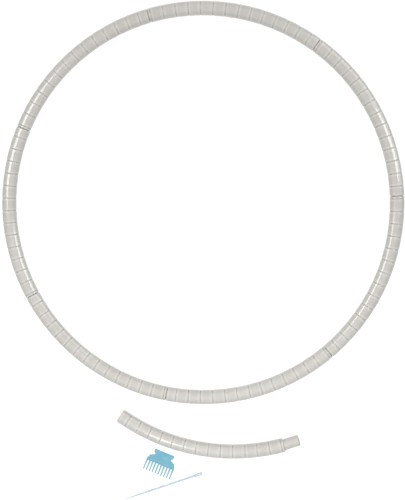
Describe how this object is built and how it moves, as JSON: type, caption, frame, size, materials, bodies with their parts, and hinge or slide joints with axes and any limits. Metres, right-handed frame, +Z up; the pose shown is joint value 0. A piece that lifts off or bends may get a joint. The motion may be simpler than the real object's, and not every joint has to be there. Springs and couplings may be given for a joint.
{
  "type": "round weaving loom",
  "caption": "Large round weaving loom: a ring of push-fit curved tube segments with thread grooves, with a spare segment, a weaving comb and a needle.",
  "frame": {"origin": "middle of the laid-out kit's box, on the surface that it lies on", "axes": "+Z up, square to the ring; +Y from the loose pieces towards the ring, along the kit's longest side"},
  "size_m": [0.9, 1.125, 0.032],
  "materials": {
    "ring_tube": "glossy",
    "connector": "glossy",
    "comb": "semi-gloss",
    "needle": "translucent gloss"
  },
  "bodies": {
    "segment_1": {"tube_1": "ring_tube", "connector_1": "connector"},
    "segment_2": {"tube_2": "ring_tube", "connector_2": "connector"},
    "segment_3": {"tube_3": "ring_tube", "connector_3": "connector"},
    "segment_4": {"tube_4": "ring_tube", "connector_4": "connector"},
    "segment_5": {"tube_5": "ring_tube", "connector_5": "connector"},
    "segment_6": {"tube_6": "ring_tube", "connector_6": "connector"},
    "segment_7": {"tube_7": "ring_tube", "connector_7": "connector"},
    "spare_segment": {"spare_tube": "ring_tube", "spare_connector": "connector"},
    "comb": {"comb": "comb"},
    "needle": {"needle": "needle"}
  },
  "joints": [
    {"name": "ring_open", "type": "hinge", "parent": "segment_4", "child": "segment_5", "pos_m": [-0.13234, 0.52583, 0.016], "axis": [0, 0, -1], "range_deg": [0, 0.8]},
    {"name": "ring_open_5_6", "type": "hinge", "parent": "segment_5", "child": "segment_6", "pos_m": [-0.40567, 0.26674, 0.016], "axis": [0, 0, -1], "range_deg": [0, 0.8]},
    {"name": "ring_open_6_7", "type": "hinge", "parent": "segment_6", "child": "segment_7", "pos_m": [-0.37352, -0.1085, 0.016], "axis": [0, 0, -1], "range_deg": [0, 0.8]},
    {"name": "ring_open_4_3", "type": "hinge", "parent": "segment_4", "child": "segment_3", "pos_m": [0.24064, 0.47368, 0.016], "axis": [0, 0, 1], "range_deg": [0, 0.8]},
    {"name": "ring_open_3_2", "type": "hinge", "parent": "segment_3", "child": "segment_2", "pos_m": [0.43242, 0.14955, 0.016], "axis": [0, 0, 1], "range_deg": [0, 0.8]},
    {"name": "ring_open_2_1", "type": "hinge", "parent": "segment_2", "child": "segment_1", "pos_m": [0.29857, -0.20247, 0.016], "axis": [0, 0, 1], "range_deg": [0, 0.8]},
    {"name": "spare_segment_lift", "type": "slide", "parent": "segment_4", "child": "spare_segment", "axis": [0, 0, 1], "range_m": [0, 0.2]},
    {"name": "comb_lift", "type": "slide", "parent": "segment_4", "child": "comb", "axis": [0, 0, 1], "range_m": [0, 0.2]},
    {"name": "needle_lift", "type": "slide", "parent": "segment_4", "child": "needle", "axis": [0, 0, 1], "range_m": [0, 0.2]}
  ],
  "couplings": [
    {"joint": "ring_open_5_6", "follows": "ring_open", "ratio": 1},
    {"joint": "ring_open_6_7", "follows": "ring_open", "ratio": 1},
    {"joint": "ring_open_4_3", "follows": "ring_open", "ratio": 1},
    {"joint": "ring_open_3_2", "follows": "ring_open", "ratio": 1},
    {"joint": "ring_open_2_1", "follows": "ring_open", "ratio": 1}
  ]
}
